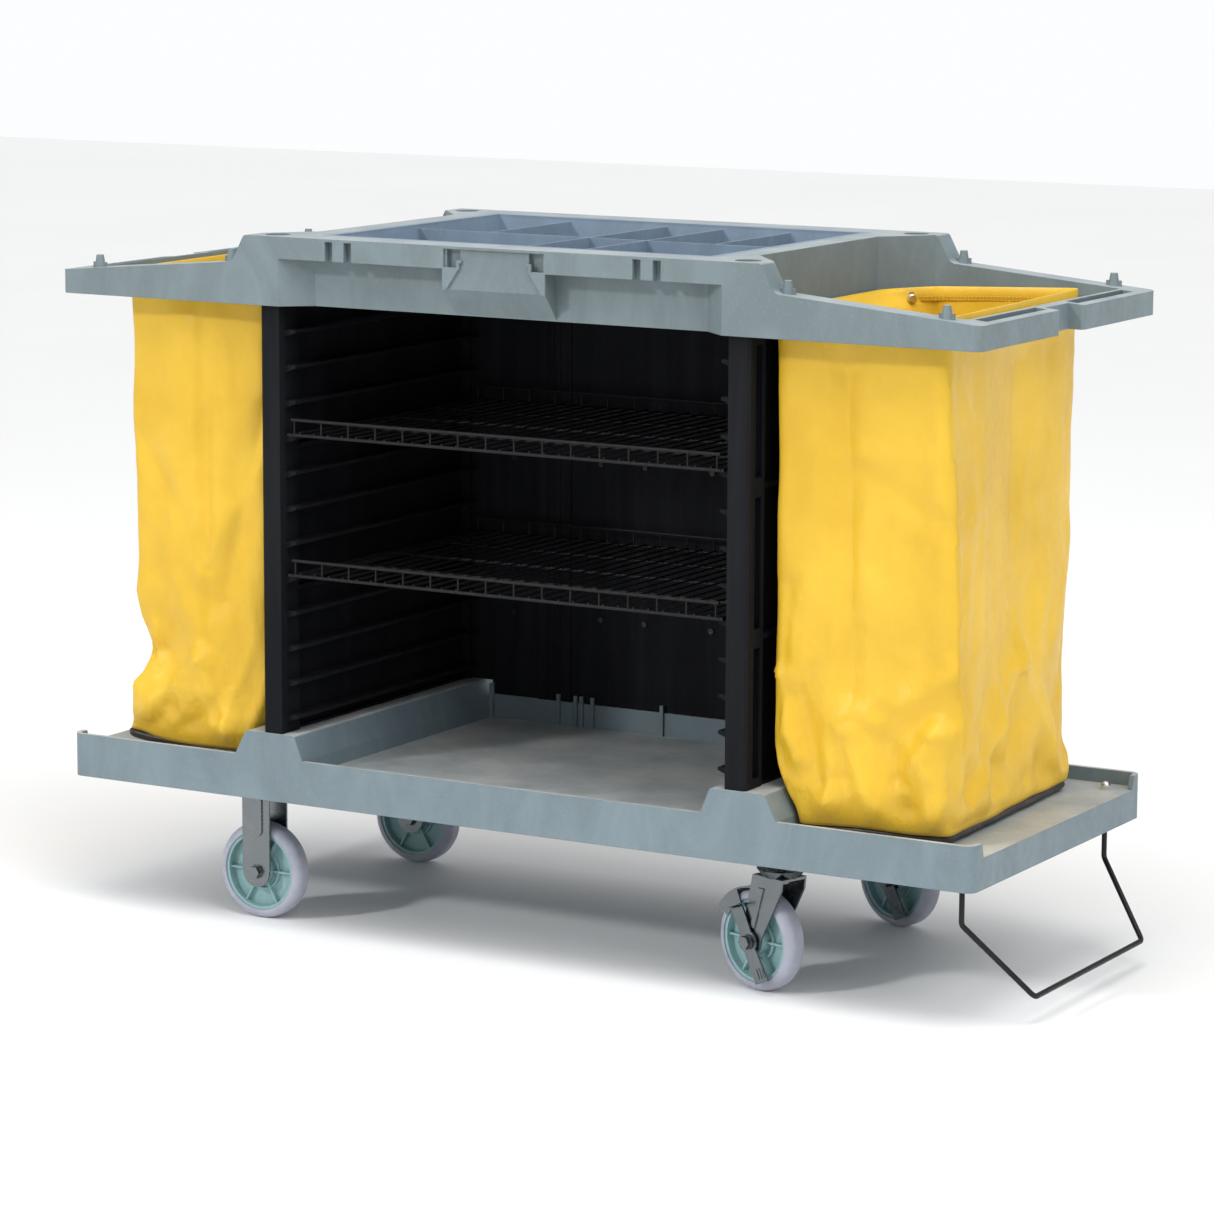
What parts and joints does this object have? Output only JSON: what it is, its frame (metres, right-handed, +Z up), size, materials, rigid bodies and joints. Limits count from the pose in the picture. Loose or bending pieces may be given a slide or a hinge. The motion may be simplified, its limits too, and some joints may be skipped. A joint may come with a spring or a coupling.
{
  "type": "housekeeping cart",
  "caption": "Wheeled housekeeping cart with an open shelved cabinet, a divided top tray, hanging cloth bags at both ends and a bent-wire rest at one end.",
  "frame": {"origin": "middle of the whole cart's footprint, on the floor under the wheels", "axes": "+X along the cart towards the swivel casters and the vacuum rest, +Y to the closed back, +Z up"},
  "size_m": [1.605, 0.606, 1.063],
  "materials": {
    "deck_grey": "textured moulded plastic, satin",
    "tray_blue": "moulded plastic, satin",
    "panel_black": "moulded plastic, satin",
    "shelf_black": "black coated wire",
    "rest_black": "black coated wire, semi gloss",
    "bag_yellow": "coated woven cloth with a slight sheen",
    "bag_vinyl": "black vinyl-coated cloth",
    "zinc_steel": "zinc-plated pressed steel",
    "bright_steel": "bright nickel plate",
    "screw_black": "blackened steel",
    "tyre_grey": "smooth thermoplastic rubber",
    "core_green": "moulded plastic, satin",
    "bush_nylon": "natural nylon"
  },
  "bodies": {
    "root": {"base_deck": "deck_grey", "top_deck": "deck_grey", "vacuum_rest": "rest_black", "vacuum_rest_nuts": "bright_steel", "side_panel_left_lower": "panel_black", "side_panel_left_middle": "panel_black", "side_panel_left_upper": "panel_black", "side_panel_right_lower": "panel_black", "side_panel_right_middle": "panel_black", "side_panel_right_upper": "panel_black", "back_panel_left": "panel_black", "back_panel_middle": "panel_black", "back_panel_right": "panel_black", "back_strip_left": "panel_black", "back_strip_right": "panel_black", "back_panel_screws": "screw_black", "tie_rods": "zinc_steel", "tie_rod_nuts": "zinc_steel", "caster_bolts": "zinc_steel", "bag_hooks": "bright_steel", "bag_left": "bag_yellow", "bag_right": "bag_yellow", "bag_base_left": "bag_vinyl", "bag_base_right": "bag_vinyl", "bag_grommets_left": "bright_steel", "bag_grommets_right": "bright_steel", "fixed_fork_front": "zinc_steel", "fixed_fork_back": "zinc_steel", "fixed_axle_front": "zinc_steel", "fixed_axle_back": "zinc_steel", "swivel_plate_front": "zinc_steel", "swivel_plate_back": "zinc_steel"},
    "wheel_left_front": {"tyre_left_front": "tyre_grey", "wheel_core_left_front": "core_green", "wheel_bush_left_front": "bush_nylon"},
    "swivel_front": {"swivel_fork_front": "zinc_steel", "swivel_axle_front": "zinc_steel"},
    "wheel_right_front": {"tyre_right_front": "tyre_grey", "wheel_core_right_front": "core_green", "wheel_bush_right_front": "bush_nylon"},
    "brake_front": {"brake_lever_front": "zinc_steel"},
    "shoe_front": {"brake_shoe_front": "zinc_steel"},
    "wheel_left_back": {"tyre_left_back": "tyre_grey", "wheel_core_left_back": "core_green", "wheel_bush_left_back": "bush_nylon"},
    "swivel_back": {"swivel_fork_back": "zinc_steel", "swivel_axle_back": "zinc_steel"},
    "wheel_right_back": {"tyre_right_back": "tyre_grey", "wheel_core_right_back": "core_green", "wheel_bush_right_back": "bush_nylon"},
    "brake_back": {"brake_lever_back": "zinc_steel"},
    "shoe_back": {"brake_shoe_back": "zinc_steel"},
    "shelf_upper": {"wire_shelf_upper": "shelf_black"},
    "shelf_lower": {"wire_shelf_lower": "shelf_black"},
    "tray": {"organiser_tray": "tray_blue"}
  },
  "joints": [
    {"name": "roll_left_front", "type": "hinge", "parent": "root", "child": "wheel_left_front", "pos_m": [-0.4915, -0.22, 0.075], "axis": [0, 1, 0], "continuous": true},
    {"name": "turn_front", "type": "hinge", "parent": "root", "child": "swivel_front", "pos_m": [0.4125, -0.226, 0.185], "axis": [0, 0, 1], "continuous": true},
    {"name": "roll_right_front", "type": "hinge", "parent": "swivel_front", "child": "wheel_right_front", "pos_m": [0.37616, -0.21489, 0.075], "axis": [0.2924, 0.9563, 0], "continuous": true},
    {"name": "brake_press_front", "type": "hinge", "parent": "swivel_front", "child": "brake_front", "pos_m": [0.37616, -0.21489, 0.075], "axis": [-0.2924, -0.9563, 0], "range_deg": [0, 18]},
    {"name": "shoe_grip_front", "type": "hinge", "parent": "swivel_front", "child": "shoe_front", "pos_m": [0.38572, -0.21781, 0.16], "axis": [-0.2924, -0.9563, 0], "range_deg": [0, 1.8]},
    {"name": "roll_left_back", "type": "hinge", "parent": "root", "child": "wheel_left_back", "pos_m": [-0.4915, 0.22, 0.075], "axis": [0, 1, 0], "continuous": true},
    {"name": "turn_back", "type": "hinge", "parent": "root", "child": "swivel_back", "pos_m": [0.4125, 0.226, 0.185], "axis": [0, 0, 1], "continuous": true},
    {"name": "roll_right_back", "type": "hinge", "parent": "swivel_back", "child": "wheel_right_back", "pos_m": [0.37616, 0.23711, 0.075], "axis": [0.2924, 0.9563, 0], "continuous": true},
    {"name": "brake_press_back", "type": "hinge", "parent": "swivel_back", "child": "brake_back", "pos_m": [0.37616, 0.23711, 0.075], "axis": [-0.2924, -0.9563, 0], "range_deg": [0, 18]},
    {"name": "shoe_grip_back", "type": "hinge", "parent": "swivel_back", "child": "shoe_back", "pos_m": [0.38572, 0.23419, 0.16], "axis": [-0.2924, -0.9563, 0], "range_deg": [0, 1.8]},
    {"name": "shelf_upper_slide", "type": "slide", "parent": "root", "child": "shelf_upper", "axis": [0, -1, 0], "range_m": [0, 0.3]},
    {"name": "shelf_lower_slide", "type": "slide", "parent": "root", "child": "shelf_lower", "axis": [0, -1, 0], "range_m": [0, 0.3]},
    {"name": "tray_lift", "type": "slide", "parent": "root", "child": "tray", "axis": [0, 0, 1], "range_m": [0, 0.12]}
  ],
  "couplings": [
    {"joint": "shoe_grip_front", "follows": "brake_press_front", "ratio": 0.1},
    {"joint": "shoe_grip_back", "follows": "brake_press_back", "ratio": 0.1}
  ]
}
